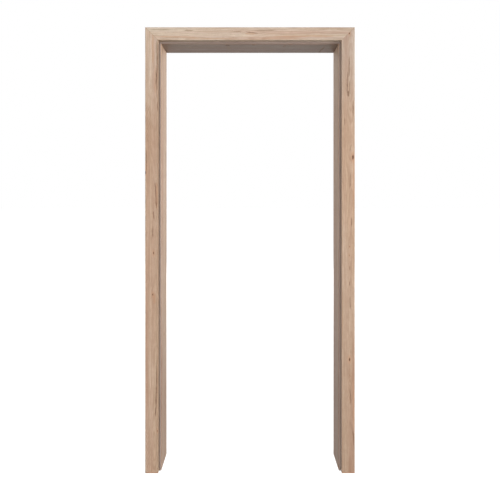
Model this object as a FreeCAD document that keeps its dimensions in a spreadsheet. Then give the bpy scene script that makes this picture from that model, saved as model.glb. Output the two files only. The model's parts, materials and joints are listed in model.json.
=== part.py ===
import FreeCAD, Part
import os
import Sketcher

# Interior door frame for a rebated door leaf, without the leaf.
# Three lining boards stand round the wall opening. Each carries a front casing, whose
# inner edge makes the rebate, and a sealing strip lies in that rebate. Behind, three
# angle-shaped casings slide in the linings' rear grooves and set the frame to the wall.
# X runs across the opening, Y through the wall from the front to the back, Z upwards.
# The origin is on the floor, in the middle of the width and of the depth at rest.

# name, millimetres, what it is
SIZES = [
    ("clear_width", 821.0, "passage between the two upright linings"),
    ("clear_height", 1973.0, "floor to the underside of the head lining"),
    ("wall_thickness", 140.0, "wall between the two casings at rest"),
    ("adjust_travel", 20.0, "how far the rear casing slides out"),
    ("rebate_step", 10.0, "width of the step that the leaf closes on"),
    ("rebate_depth", 24.0, "front face to the step"),
    ("lining_thickness", 22.0, "board of the linings"),
    ("lining_front_radius", 1.5, "rounding of the step's edge"),
    ("lining_rear_radius", 2.0, "rounding of the passage's rear edge"),
    ("casing_width", 60.0, "visible width of the front casing"),
    ("casing_thickness", 18.0, "front casing"),
    ("casing_outer_radius", 3.0, "rounding away from the passage"),
    ("casing_inner_radius", 2.0, "rounding beside the rebate"),
    ("glue_tongue_thickness", 5.0, "tongue that joins front casing and lining"),
    ("glue_tongue_length", 9.0, "same tongue, into the lining"),
    ("glue_tongue_gap", 0.1, "glue gap beside and beyond that tongue"),
    ("rear_casing_width", 60.0, "visible width of the rear casing"),
    ("rear_casing_thickness", 14.0, "rear casing"),
    ("rear_casing_radius", 3.0, "rounding of the rear casing's edges"),
    ("rear_seat_gap", 0.3, "lining to rear casing at rest"),
    ("slide_tongue_thickness", 6.0, "tongue that slides in the lining"),
    ("slide_tongue_overlap", 8.0, "same tongue, still in the lining at full travel"),
    ("slide_gap", 0.3, "running gap on each side of that tongue"),
    ("slide_end_gap", 1.0, "room beyond the tip of that tongue"),
    ("slide_groove_wall", 8.0, "wood between the passage and the rear groove"),
    ("outer_lip_setback", 3.0, "lining beyond that groove, short of the rear edge"),
    ("tongue_tip_chamfer", 1.0, "lead-in at the tip of the sliding tongue"),
    ("mitre_gap", 0.1, "each piece stops this far short of the mitre line"),
    ("seal_width", 7.8, "foot of the sealing strip"),
    ("seal_side_gap", 0.2, "strip to front casing"),
    ("seal_foot_thickness", 1.0, "foot of the sealing strip"),
    ("seal_bulb_width", 6.2, "hollow bulb"),
    ("seal_bulb_radius", 2.9, "rounding of the bulb"),
    ("seal_height", 5.6, "bulb above the step"),
    ("seal_bore_radius", 1.9, "hollow of the bulb"),
    ("seal_slot_width", 3.0, "slot in the lining"),
    ("seal_slot_depth", 8.0, "slot in the lining"),
    ("seal_root_thickness", 1.6, "stem in the slot"),
    ("seal_barb_gap", 0.05, "barb to slot wall"),
    ("seal_root_end_gap", 0.5, "root to slot bottom"),
    ("connector_inset", 16.5, "groove bottom to the nearest cam"),
    ("cam_diameter", 14.8, "cam of a corner connector"),
    ("cam_hole_gap", 0.1, "cam to its hole"),
    ("cam_cavity_gap", 1.2, "bolt head to the cam's inner wall"),
    ("cam_floor_gap", 0.6, "bolt head to the bottom of the cam"),
    ("cam_cross_length", 8.0, "screwdriver cross"),
    ("cam_cross_width", 1.4, "screwdriver cross"),
    ("cam_cross_depth", 2.5, "screwdriver cross"),
    ("bolt_reach", 27.0, "mitre to the cam's centre"),
    ("bolt_shank_radius", 3.5, "connecting bolt"),
    ("bolt_thread_radius", 3.0, "end screwed into the upright"),
    ("bolt_neck_radius", 1.9, "waist that the cam hooks"),
    ("bolt_head_radius", 3.4, "head inside the cam"),
    ("bolt_head_length", 4.0, "head inside the cam"),
    ("bolt_bore_gap", 0.5, "bolt to its bore in the head lining"),
    ("bolt_thread_gap", 0.05, "thread to its bore in the upright"),
    ("bolt_cover", 1.5, "wood left beyond the bolt and the dowel"),
    ("dowel_radius", 4.0, "wooden corner dowel"),
    ("dowel_in_head", 16.0, "length in the head lining"),
    ("dowel_gap", 0.1, "dowel to its bore"),
    ("bore_end_gap", 0.1, "bolt, dowel or cam to the end of its bore"),
    ("dowel_chamfer", 0.8, "ends of the dowel"),
    ("plate_arm", 45.0, "corner plate, centre of the corner to the end"),
    ("plate_width", 15.0, "corner plate"),
    ("plate_thickness", 1.8, "corner plate"),
    ("plate_gap", 0.2, "plate to its recess"),
    ("plate_screw_margin", 8.0, "outer screw to the end of the arm"),
    ("plate_screw_pitch", 19.0, "between the two screws of an arm"),
    ("screw_length", 11.0, "countersunk screw"),
    ("screw_shank_radius", 1.7, "countersunk screw"),
    ("screw_head_radius", 3.3, "countersunk screw"),
    ("screw_head_height", 1.7, "countersunk screw"),
    ("screw_tip_length", 2.0, "countersunk screw"),
    ("screw_gap", 0.1, "screw to plate and wood"),
    ("screw_cross_length", 3.2, "driver recess"),
    ("screw_cross_width", 0.7, "driver recess"),
    ("screw_cross_depth", 1.0, "driver recess"),
]

FULL_TURN = 360.0
CUT_MARGIN = 2.0
SAME_PLACE = 1e-4

doc = FreeCAD.newDocument("DoorFrame")
sheet = doc.addObject("Spreadsheet::Sheet", "sizes")
for row, (alias, number, note) in enumerate(SIZES, start=1):
    sheet.set(f"A{row}", alias)
    sheet.set(f"B{row}", str(number))
    sheet.set(f"C{row}", note)
    sheet.setAlias(f"B{row}", alias)
doc.recompute()


class Length:
    # A length that knows its number and the sheet formula that gives it.

    def __init__(self, number, formula):
        self.number = number
        self.formula = formula

    def joined(self, other, sign, number):
        text = other.formula if isinstance(other, Length) else repr(float(other))
        return Length(number, f"({self.formula} {sign} {text})")

    def __add__(self, other):
        return self.joined(other, "+", self.number + number_of(other))

    def __sub__(self, other):
        return self.joined(other, "-", self.number - number_of(other))

    def __mul__(self, factor):
        return self.joined(factor, "*", self.number * factor)

    def __rmul__(self, factor):
        return self * factor

    def __truediv__(self, factor):
        return self.joined(factor, "/", self.number / factor)

    def __neg__(self):
        return self * -1


def number_of(length):
    return length.number if isinstance(length, Length) else float(length)


def size(alias):
    return Length(float(sheet.get(alias)), f"sizes.{alias}")


def bind(item, place, length):
    # Gives item's property the length's number, and ties it to the sheet.
    item.setExpression(place, length.formula)


NOWHERE = size("clear_width") * 0
half_width = size("clear_width") / 2
clear_height = size("clear_height")
lining_thickness = size("lining_thickness")
middle_of_lining = lining_thickness / 2
depth_at_rest = size("casing_thickness") + size("wall_thickness") + size("rear_casing_thickness")
front = -depth_at_rest / 2

# Depths counted from the front face.
step_depth = size("rebate_depth")
wall_front = size("casing_thickness")
wall_back = wall_front + size("wall_thickness")
lining_back = wall_back - size("rear_seat_gap")
glue_groove_bottom = step_depth + size("glue_tongue_length") + size("glue_tongue_gap")
slide_tongue_tip = wall_back - size("adjust_travel") - size("slide_tongue_overlap")
slide_groove_bottom = slide_tongue_tip - size("slide_end_gap")
outer_lip_end = lining_back - size("outer_lip_setback")

# Distances outwards from the passage, the same for both uprights and the head.
casing_outer = size("rebate_step") + size("casing_width")
slide_groove_inner = size("slide_groove_wall")
slide_tongue_inner = slide_groove_inner + size("slide_gap")
slide_tongue_outer = slide_tongue_inner + size("slide_tongue_thickness")
slide_groove_outer = slide_tongue_outer + size("slide_gap")
rear_casing_outer = slide_tongue_inner + size("rear_casing_width")
glue_middle = (size("rebate_step") + lining_thickness) / 2
glue_half = size("glue_tongue_thickness") / 2
seal_middle = size("rebate_step") - size("seal_side_gap") - size("seal_width") / 2


def new_body(label):
    body = doc.addObject("PartDesign::Body", label)
    body.Label = label
    return body


def new_sketch(body, role, lift=None):
    # A sketch on one of the body's own planes, lifted off it along its normal.
    sketch = body.newObject("Sketcher::SketchObject", f"{body.Name}_sketch")
    plane = next(f for f in body.Origin.OriginFeatures if f.Role == role)
    sketch.AttachmentSupport = [(plane, "")]
    sketch.MapMode = "FlatFace"
    if lift is not None:
        bind(sketch, "AttachmentOffset.Base.z", lift)
    return sketch


def fix_point(sketch, geometry, end, point):
    for kind, length in zip(("DistanceX", "DistanceY"), point):
        made = sketch.addConstraint(Sketcher.Constraint(kind, -1, 1, geometry, end, number_of(length)))
        bind(sketch, f"Constraints[{made}]", length)


def draw_outline(sketch, points):
    # A closed outline of straight lines, each corner tied to the sheet.
    corners = [FreeCAD.Vector(number_of(a), number_of(b), 0) for a, b in points]
    first = sketch.GeometryCount
    count = len(corners)
    for i in range(count):
        sketch.addGeometry(Part.LineSegment(corners[i], corners[(i + 1) % count]), False)
    for i in range(count):
        following = first + (i + 1) % count
        sketch.addConstraint(Sketcher.Constraint("Coincident", first + i, 2, following, 1))
        fix_point(sketch, first + i, 1, points[i])


def draw_circle(sketch, centre, radius):
    middle = FreeCAD.Vector(number_of(centre[0]), number_of(centre[1]), 0)
    circle = sketch.addGeometry(Part.Circle(middle, FreeCAD.Vector(0, 0, 1), radius.number), False)
    fix_point(sketch, circle, 3, centre)
    made = sketch.addConstraint(Sketcher.Constraint("Radius", circle, radius.number))
    bind(sketch, f"Constraints[{made}]", radius)


def pad(body, sketch, length, centred=False, backwards=False):
    made = body.newObject("PartDesign::Pad", f"{body.Name}_pad")
    made.Profile = sketch
    made.Midplane = centred
    made.Reversed = backwards
    bind(made, "Length", length)
    return made


def pocket(body, sketch, length=None, backwards=False):
    # With no length the pocket goes right through, both ways.
    made = body.newObject("PartDesign::Pocket", f"{body.Name}_pocket")
    made.Profile = sketch
    made.Reversed = backwards
    if length is None:
        made.Type = "ThroughAll"
        made.Midplane = True
    else:
        bind(made, "Length", length)
    return made


def turn(body, sketch):
    # Turns the sketch fully about its horizontal axis.
    made = body.newObject("PartDesign::Revolution", f"{body.Name}_turned")
    made.Profile = sketch
    made.ReferenceAxis = (sketch, ["H_Axis"])
    made.Angle = FULL_TURN
    return made


def round_edges(body, feature, along, places, radius):
    # Rounds the straight edges that run along one axis through the given places.
    doc.recompute()
    names = []
    for number, edge in enumerate(feature.Shape.Edges, start=1):
        ends = [v.Point for v in edge.Vertexes]
        if len(ends) != 2 or abs(ends[0][along] - ends[1][along]) < SAME_PLACE:
            continue
        for place in places:
            away = [abs(end[axis] - at.number) for end in ends for axis, at in place.items()]
            if max(away) < SAME_PLACE:
                names.append(f"Edge{number}")
    made = body.newObject("PartDesign::Fillet", f"{body.Name}_rounding")
    made.Base = (feature, names)
    bind(made, "Radius", radius)
    return made


def place(item, x, y, z, degrees=0.0):
    # Puts a finished piece at x, y, z, turned about the vertical.
    item.Placement = FreeCAD.Placement(
        FreeCAD.Vector(number_of(x), number_of(y), number_of(z)),
        FreeCAD.Rotation(FreeCAD.Vector(0, 0, 1), degrees),
    )
    for axis, length in zip("xyz", (x, y, z)):
        bind(item, f"Placement.Base.{axis}", length)


def drill(name, axis, start, end, radius):
    # A round cutter from start to end, along X or along Z.
    cutter = doc.addObject("Part::Cylinder", name)
    bind(cutter, "Radius", radius)
    which = "XYZ".index(axis)
    forward = end[which].number > start[which].number
    low = start if forward else end
    high = end if forward else start
    bind(cutter, "Height", high[which] - low[which])
    lay = FreeCAD.Rotation(FreeCAD.Vector(0, 1, 0), 90.0 if axis == "X" else 0.0)
    cutter.Placement = FreeCAD.Placement(FreeCAD.Vector(), lay)
    for letter, length in zip("xyz", low):
        bind(cutter, f"Placement.Base.{letter}", length)
    return cutter


def cut_from(body, label, cutters):
    # The piece that is left of body once the cutters are taken away.
    tool = doc.addObject("Part::MultiFuse", f"{label}_cutters")
    tool.Shapes = cutters
    made = doc.addObject("Part::Cut", f"{label}_cut")
    made.Base = body
    made.Tool = tool
    body.Label = f"{label}_blank"
    made.Label = label
    return made


# Sections of the boards. Each corner is outwards from the passage, then back from the front.

slot_half = size("seal_slot_width") / 2
slot_bottom = step_depth + size("seal_slot_depth")
glue_groove_half = glue_half + size("glue_tongue_gap")
LINING = [
    (NOWHERE, step_depth),
    (seal_middle - slot_half, step_depth),
    (seal_middle - slot_half, slot_bottom),
    (seal_middle + slot_half, slot_bottom),
    (seal_middle + slot_half, step_depth),
    (glue_middle - glue_groove_half, step_depth),
    (glue_middle - glue_groove_half, glue_groove_bottom),
    (glue_middle + glue_groove_half, glue_groove_bottom),
    (glue_middle + glue_groove_half, step_depth),
    (lining_thickness, step_depth),
    (lining_thickness, outer_lip_end),
    (slide_groove_outer, outer_lip_end),
    (slide_groove_outer, slide_groove_bottom),
    (slide_groove_inner, slide_groove_bottom),
    (slide_groove_inner, lining_back),
    (NOWHERE, lining_back),
]
LINING_ROUNDS = [
    (LINING[0], size("lining_front_radius")),
    (LINING[-1], size("lining_rear_radius")),
]

glue_tongue_tip = step_depth + size("glue_tongue_length")
FRONT_CASING = [
    (size("rebate_step"), NOWHERE),
    (casing_outer, NOWHERE),
    (casing_outer, wall_front),
    (lining_thickness, wall_front),
    (lining_thickness, step_depth),
    (glue_middle + glue_half, step_depth),
    (glue_middle + glue_half, glue_tongue_tip),
    (glue_middle - glue_half, glue_tongue_tip),
    (glue_middle - glue_half, step_depth),
    (size("rebate_step"), step_depth),
]
FRONT_CASING_ROUNDS = [
    (FRONT_CASING[0], size("casing_inner_radius")),
    (FRONT_CASING[1], size("casing_outer_radius")),
]

tip_chamfer = size("tongue_tip_chamfer")
REAR_CASING = [
    (slide_tongue_inner, slide_tongue_tip + tip_chamfer),
    (slide_tongue_inner + tip_chamfer, slide_tongue_tip),
    (slide_tongue_outer - tip_chamfer, slide_tongue_tip),
    (slide_tongue_outer, slide_tongue_tip + tip_chamfer),
    (slide_tongue_outer, wall_back),
    (rear_casing_outer, wall_back),
    (rear_casing_outer, depth_at_rest),
    (slide_tongue_inner, depth_at_rest),
]
REAR_CASING_ROUNDS = [
    (REAR_CASING[6], size("rear_casing_radius")),
    (REAR_CASING[7], size("rear_casing_radius")),
]

# The strip's root is an arrow with two pairs of barbs, in equal parts down the slot.
seal_foot_half = size("seal_width") / 2
seal_bulb_half = size("seal_bulb_width") / 2
seal_foot_top = step_depth - size("seal_foot_thickness")
seal_top = step_depth - size("seal_height")
root_half = size("seal_root_thickness") / 2
barb_half = slot_half - size("seal_barb_gap")
root_part = (size("seal_slot_depth") - size("seal_root_end_gap")) / 5
ROOT_SIDE = [
    (root_half, step_depth),
    (root_half, step_depth + root_part),
    (barb_half, step_depth + root_part),
    (root_half, step_depth + root_part * 3),
    (barb_half, step_depth + root_part * 3),
    (root_half, step_depth + root_part * 5),
]
SEAL_HALF = [
    (seal_bulb_half, seal_top),
    (seal_bulb_half, seal_foot_top),
    (seal_foot_half, seal_foot_top),
    (seal_foot_half, step_depth),
    *ROOT_SIDE,
]
SEAL = [(seal_middle + out, deep) for out, deep in SEAL_HALF]
SEAL += [(seal_middle - out, deep) for out, deep in reversed(SEAL_HALF)]
SEAL_ROUNDS = [
    (SEAL[0], size("seal_bulb_radius")),
    (SEAL[-1], size("seal_bulb_radius")),
]
seal_bore_depth = step_depth - size("seal_height") / 2


def furthest(section):
    return max((out for out, deep in section), key=number_of)


def nearest(section):
    return min((out for out, deep in section), key=number_of)


def mitre_corner(side, out, up_short=0.0, in_short=0.0):
    # A point on the mitre line of one side, or short of it by the joint's gap.
    gap = size("mitre_gap")
    return (side * (half_width + out - gap * in_short), clear_height + out - gap * up_short)


def upright(label, side, section, rounds, bore=None):
    # A standing piece: its section is drawn on the floor and its top is mitred.
    body = new_body(label)
    plan = new_sketch(body, "XY_Plane")
    draw_outline(plan, [(side * (half_width + out), front + deep) for out, deep in section])
    last = pad(body, plan, clear_height + furthest(section))
    for (out, deep), radius in rounds:
        edge = {0: side * (half_width + out), 1: front + deep}
        last = round_edges(body, last, 2, [edge], radius)
    if bore is not None:
        hollow = new_sketch(body, "XY_Plane")
        draw_circle(hollow, (side * (half_width + bore[0]), front + bore[1]), bore[2])
        pocket(body, hollow)
    inner = nearest(section) - CUT_MARGIN
    outer = furthest(section) + CUT_MARGIN
    above = new_sketch(body, "XZ_Plane")
    low = mitre_corner(side, inner, up_short=1)
    high = mitre_corner(side, outer, up_short=1)
    draw_outline(above, [low, high, (low[0], high[1])])
    body.Tip = pocket(body, above)
    return body


def crosspiece(label, section, rounds, bore=None):
    # A level piece over the passage: the same section, mitred at both ends.
    body = new_body(label)
    end_view = new_sketch(body, "YZ_Plane")
    draw_outline(end_view, [(front + deep, clear_height + out) for out, deep in section])
    last = pad(body, end_view, (half_width + furthest(section)) * 2, centred=True)
    for (out, deep), radius in rounds:
        edge = {1: front + deep, 2: clear_height + out}
        last = round_edges(body, last, 0, [edge], radius)
    if bore is not None:
        hollow = new_sketch(body, "YZ_Plane")
        draw_circle(hollow, (front + bore[1], clear_height + bore[0]), bore[2])
        pocket(body, hollow)
    inner = nearest(section) - CUT_MARGIN
    outer = furthest(section) + CUT_MARGIN
    for side in (-1, 1):
        beyond = new_sketch(body, "XZ_Plane")
        low = mitre_corner(side, inner, in_short=1)
        high = mitre_corner(side, outer, in_short=1)
        draw_outline(beyond, [low, high, (high[0], low[1])])
        body.Tip = pocket(body, beyond)
    return body


SIDES = {"left": -1, "right": 1}
pieces = {}

# Corner connectors: a cam in the head lining pulls a bolt that is screwed into the
# upright's mitre, and two wooden dowels beside it keep the boards level.

connector_front = glue_groove_bottom + size("connector_inset")
connector_rear = slide_groove_bottom - size("connector_inset")
connector_span = connector_rear - connector_front
CONNECTORS = {"front": connector_front, "rear": connector_rear}
DOWELS = {
    "front": connector_front + connector_span / 3,
    "rear": connector_rear - connector_span / 3,
}
cam_radius = size("cam_diameter") / 2
cam_below_bolt = size("bolt_head_radius") + size("cam_floor_gap")
bolt_level = clear_height + middle_of_lining
bolt_end_in_upright = middle_of_lining - size("bolt_cover")
drill_overrun = size("dowel_radius") + CUT_MARGIN


def draw_cross(sketch, arm, half):
    draw_outline(sketch, [
        (arm, -half), (arm, half), (half, half), (half, arm), (-half, arm), (-half, half),
        (-arm, half), (-arm, -half), (-half, -half), (-half, -arm), (half, -arm), (half, -half),
    ])


def cam(label, side, deep):
    # Open below and towards the mitre, so that it drops over the bolt's head.
    body = new_body(label)
    under = -cam_below_bolt
    disc = new_sketch(body, "XY_Plane", under)
    draw_circle(disc, (NOWHERE, NOWHERE), cam_radius)
    pad(body, disc, cam_below_bolt + middle_of_lining)
    cavity_radius = size("bolt_head_radius") + size("cam_cavity_gap")
    cavity_height = cam_below_bolt + size("bolt_head_radius") + size("cam_floor_gap")
    cavity = new_sketch(body, "XY_Plane", under)
    draw_circle(cavity, (NOWHERE, NOWHERE), cavity_radius)
    pocket(body, cavity, cavity_height, backwards=True)
    slot_half_width = size("bolt_neck_radius") + size("cam_floor_gap")
    slot = new_sketch(body, "XY_Plane", under)
    outside = -cam_radius - CUT_MARGIN
    draw_outline(slot, [
        (outside, -slot_half_width),
        (NOWHERE, -slot_half_width),
        (NOWHERE, slot_half_width),
        (outside, slot_half_width),
    ])
    pocket(body, slot, cavity_height, backwards=True)
    cross = new_sketch(body, "XY_Plane", middle_of_lining)
    draw_cross(cross, size("cam_cross_length") / 2, size("cam_cross_width") / 2)
    body.Tip = pocket(body, cross, size("cam_cross_depth"))
    centre = side * (half_width + middle_of_lining - size("bolt_reach"))
    place(body, centre, front + deep, bolt_level, 0.0 if side < 0 else 180.0)
    return body


def turned_piece(label, profile):
    # A round piece about its own X axis: profile goes along X, then out from the axis.
    body = new_body(label)
    half = new_sketch(body, "XY_Plane")
    draw_outline(half, profile)
    body.Tip = turn(body, half)
    return body


def bolt(label, side, deep):
    head_half = size("bolt_head_length") / 2
    cam_face = size("bolt_reach") - cam_radius - size("cam_hole_gap") - size("bolt_bore_gap")
    body = turned_piece(label, [
        (-bolt_end_in_upright, NOWHERE),
        (-bolt_end_in_upright, size("bolt_thread_radius")),
        (NOWHERE, size("bolt_thread_radius")),
        (NOWHERE, size("bolt_shank_radius")),
        (cam_face, size("bolt_shank_radius")),
        (cam_face, size("bolt_neck_radius")),
        (size("bolt_reach") - head_half, size("bolt_neck_radius")),
        (size("bolt_reach") - head_half, size("bolt_head_radius")),
        (size("bolt_reach") + head_half, size("bolt_head_radius")),
        (size("bolt_reach") + head_half, NOWHERE),
    ])
    mitre = side * (half_width + middle_of_lining)
    place(body, mitre, front + deep, bolt_level, 0.0 if side < 0 else 180.0)
    return body


def dowel(label, side, deep):
    chamfer = size("dowel_chamfer")
    radius = size("dowel_radius")
    body = turned_piece(label, [
        (-bolt_end_in_upright, NOWHERE),
        (-bolt_end_in_upright, radius - chamfer),
        (-bolt_end_in_upright + chamfer, radius),
        (size("dowel_in_head") - chamfer, radius),
        (size("dowel_in_head"), radius - chamfer),
        (size("dowel_in_head"), NOWHERE),
    ])
    mitre = side * (half_width + middle_of_lining)
    place(body, mitre, front + deep, bolt_level, 0.0 if side < 0 else 180.0)
    return body


def lining_drills(name, side):
    # The bores of one corner: those in the upright, then those in the head lining.
    mitre = half_width + middle_of_lining
    blind_end = mitre + bolt_end_in_upright + size("bore_end_gap")
    dowel_end = mitre - size("dowel_in_head") - size("bore_end_gap")
    cam_centre = side * (mitre - size("bolt_reach"))
    in_upright = []
    in_head = []
    for where, deep in CONNECTORS.items():
        y = front + deep
        in_upright.append(drill(
            f"{name}_{where}_thread_bore", "X",
            (side * (mitre - drill_overrun), y, bolt_level),
            (side * blind_end, y, bolt_level),
            size("bolt_thread_radius") + size("bolt_thread_gap"),
        ))
        in_upright.append(drill(
            f"{name}_{where}_shank_relief", "X",
            (side * (mitre - drill_overrun), y, bolt_level),
            (side * (mitre + size("bolt_bore_gap")), y, bolt_level),
            size("bolt_shank_radius") + size("bolt_bore_gap"),
        ))
        in_head.append(drill(
            f"{name}_{where}_bolt_bore", "X",
            (side * (mitre + drill_overrun), y, bolt_level),
            (cam_centre, y, bolt_level),
            size("bolt_shank_radius") + size("bolt_bore_gap"),
        ))
        in_head.append(drill(
            f"{name}_{where}_cam_hole", "Z",
            (cam_centre, y, bolt_level - cam_below_bolt - size("bore_end_gap")),
            (cam_centre, y, clear_height + lining_thickness + CUT_MARGIN),
            cam_radius + size("cam_hole_gap"),
        ))
    for where, deep in DOWELS.items():
        y = front + deep
        radius = size("dowel_radius") + size("dowel_gap")
        in_upright.append(drill(
            f"{name}_{where}_dowel_bore", "X",
            (side * (mitre - drill_overrun), y, bolt_level),
            (side * blind_end, y, bolt_level),
            radius,
        ))
        in_head.append(drill(
            f"{name}_{where}_dowel_bore_in_head", "X",
            (side * (mitre + drill_overrun), y, bolt_level),
            (side * dowel_end, y, bolt_level),
            radius,
        ))
    return in_upright, in_head


# Corner plates: a steel angle let into the hidden face of two casings, with four screws.

plate_half = size("plate_width") / 2
PLATE_ROWS = {
    "front": (lining_thickness + casing_outer) / 2,
    "rear": (slide_tongue_outer + rear_casing_outer) / 2,
}


def angle_outline(side, out, grown):
    # The plate's outline round the corner at the given distance out, grown all round.
    wide = plate_half + grown
    arm = size("plate_arm") + grown
    x = half_width + out
    z = clear_height + out
    return [
        (side * (x + wide), z + wide),
        (side * (x + wide), z - arm),
        (side * (x - wide), z - arm),
        (side * (x - wide), z - wide),
        (side * (x - arm), z - wide),
        (side * (x - arm), z + wide),
    ]


def slab(label, outline, near, far):
    # A flat piece of that outline as seen from the front, between two depths.
    body = new_body(label)
    face = new_sketch(body, "XZ_Plane", -(front + near))
    draw_outline(face, outline)
    body.Tip = pad(body, face, far - near, backwards=True)
    return body


def screw_profile(grown):
    # Head, shank and tip, grown all round.
    neck = size("screw_head_height") + grown
    thread_end = size("screw_length") - size("screw_tip_length")
    return [
        (NOWHERE, NOWHERE),
        (NOWHERE, size("screw_head_radius") + grown),
        (neck, size("screw_shank_radius") + grown),
        (thread_end, size("screw_shank_radius") + grown),
        (size("screw_length") + grown, NOWHERE),
    ]


def screw_hole(label):
    # The screw's hole, open past the head.
    profile = screw_profile(size("screw_gap"))
    outside = NOWHERE - CUT_MARGIN
    head = profile[1][1]
    return turned_piece(label, [(outside, NOWHERE), (outside, head)] + profile[1:])


def screw(label):
    body = turned_piece(label, screw_profile(NOWHERE))
    recess = new_sketch(body, "YZ_Plane")
    draw_cross(recess, size("screw_cross_length") / 2, size("screw_cross_width") / 2)
    body.Tip = pocket(body, recess, size("screw_cross_depth"), backwards=True)
    return body


def screw_places(side, out):
    # Two screws down the upright arm and two along the level arm.
    x = half_width + out
    z = clear_height + out
    far = size("plate_arm") - size("plate_screw_margin")
    near = far - size("plate_screw_pitch")
    return {
        "upright": [(side * x, z - near), (side * x, z - far)],
        "head": [(side * (x - near), z), (side * (x - far), z)],
    }


def corner_plate(row, name, side):
    # Makes one plate with its screws; returns what to cut from the upright and head casing.
    out = PLATE_ROWS[row]
    gap = size("plate_gap")
    if row == "front":
        near, far = wall_front - size("plate_thickness") - gap, wall_front - gap
        recess_near, recess_far = near, wall_front + CUT_MARGIN
        head_face, degrees = far, -90.0
    else:
        near, far = wall_back + gap, wall_back + size("plate_thickness") + gap
        recess_near, recess_far = wall_back - CUT_MARGIN, far
        head_face, degrees = near, 90.0
    plate = slab(f"{row}_plate_{name}", angle_outline(side, out, NOWHERE), near, far)
    recess = slab(f"{row}_recess_{name}", angle_outline(side, out, gap), recess_near, recess_far)
    cutters = {}
    number = 0
    for arm, places in screw_places(side, out).items():
        cutters[arm] = [recess]
        for x, z in places:
            number += 1
            label = f"{row}_plate_{name}_screw_{number}"
            pieces[label] = screw(label)
            place(pieces[label], x, front + head_face, z, degrees)
            hole = screw_hole(f"{label}_hole")
            place(hole, x, front + head_face, z, degrees)
            cutters[arm].append(hole)
    holes = [c for arm in cutters.values() for c in arm if c is not recess]
    label = plate.Label
    pieces[label] = cut_from(plate, label, holes)
    return cutters["upright"], cutters["head"]


# The boards, drilled for what joins them.

head_bores = []
head_cuts = {"front": [], "rear": []}
seal_bore = (seal_middle, seal_bore_depth, size("seal_bore_radius"))
for name, side in SIDES.items():
    in_upright, in_head = lining_drills(name, side)
    head_bores += in_head
    label = f"lining_{name}"
    pieces[label] = cut_from(upright(label, side, LINING, LINING_ROUNDS), label, in_upright)
    for where, deep in CONNECTORS.items():
        pieces[f"corner_cam_{name}_{where}"] = cam(f"corner_cam_{name}_{where}", side, deep)
        pieces[f"corner_bolt_{name}_{where}"] = bolt(f"corner_bolt_{name}_{where}", side, deep)
    for where, deep in DOWELS.items():
        pieces[f"corner_dowel_{name}_{where}"] = dowel(f"corner_dowel_{name}_{where}", side, deep)
    pieces[f"seal_{name}"] = upright(f"seal_{name}", side, SEAL, SEAL_ROUNDS, seal_bore)
    for row, section, rounds in (
        ("front", FRONT_CASING, FRONT_CASING_ROUNDS),
        ("rear", REAR_CASING, REAR_CASING_ROUNDS),
    ):
        from_upright, from_head = corner_plate(row, name, side)
        head_cuts[row] += from_head
        label = f"{row}_casing_{name}"
        pieces[label] = cut_from(upright(label, side, section, rounds), label, from_upright)

pieces["lining_head"] = cut_from(
    crosspiece("lining_head", LINING, LINING_ROUNDS), "lining_head", head_bores
)
pieces["front_casing_head"] = cut_from(
    crosspiece("front_casing_head", FRONT_CASING, FRONT_CASING_ROUNDS),
    "front_casing_head", head_cuts["front"],
)
pieces["rear_casing_head"] = cut_from(
    crosspiece("rear_casing_head", REAR_CASING, REAR_CASING_ROUNDS),
    "rear_casing_head", head_cuts["rear"],
)
pieces["seal_head"] = crosspiece("seal_head", SEAL, SEAL_ROUNDS, seal_bore)

doc.recompute()
for item in doc.Objects:
    if {"Invalid", "Error"} & set(item.State):
        raise RuntimeError(f"{item.Label} failed: {item.State}")

os.makedirs("parts", exist_ok=True)
for label, item in sorted(pieces.items()):
    shape = item.Shape
    if shape.isNull() or not shape.isValid() or len(shape.Solids) != 1:
        raise RuntimeError(f"{label} is not one sound solid")
for label, item in sorted(pieces.items()):
    item.Shape.exportStep(f"parts/{label}.step")
print(len(pieces), "pieces written")
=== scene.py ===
import json
import math

import bmesh
import bpy
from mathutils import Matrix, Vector


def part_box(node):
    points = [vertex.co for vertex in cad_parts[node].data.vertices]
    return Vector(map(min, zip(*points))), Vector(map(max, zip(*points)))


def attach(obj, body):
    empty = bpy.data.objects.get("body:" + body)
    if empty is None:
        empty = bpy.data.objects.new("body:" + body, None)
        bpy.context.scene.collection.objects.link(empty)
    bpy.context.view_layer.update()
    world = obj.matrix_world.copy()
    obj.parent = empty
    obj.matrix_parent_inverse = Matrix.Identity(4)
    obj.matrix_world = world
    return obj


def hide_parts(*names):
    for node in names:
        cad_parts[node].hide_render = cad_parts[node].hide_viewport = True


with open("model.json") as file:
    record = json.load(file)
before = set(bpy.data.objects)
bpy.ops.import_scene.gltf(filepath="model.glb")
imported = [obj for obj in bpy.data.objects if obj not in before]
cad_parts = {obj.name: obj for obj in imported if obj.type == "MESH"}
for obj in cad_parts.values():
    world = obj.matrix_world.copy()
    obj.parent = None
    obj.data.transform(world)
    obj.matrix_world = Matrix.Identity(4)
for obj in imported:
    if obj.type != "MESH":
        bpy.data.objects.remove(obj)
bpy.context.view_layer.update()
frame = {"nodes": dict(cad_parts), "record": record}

# A foil-wrapped oak door frame, in metres: X across, Y through the wall, Z up.
# On a board, "out" runs away from the passage and "deep" runs back from the front face.
# On its foil, "along" is the height, or X on the head, and "across" is measured round the wrap.

mm = 0.001
mirror = {"left": -1, "right": 1}
places = ("left", "right", "head")
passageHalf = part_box("lining_right")[0].x
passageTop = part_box("lining_head")[0].z
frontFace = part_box("front_casing_left")[0].y
mitreGap = 0.1 * mm
creaseAngle = math.radians(30)  # edges sharper than this aren't smoothed


def paint(red, green, blue):
    # A screen colour, 0 to 255, as the linear colour that a node takes.
    linear = [((channel / 255 + 0.055) / 1.055) ** 2.4 for channel in (red, green, blue)]
    return (*linear, 1.0)


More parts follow.
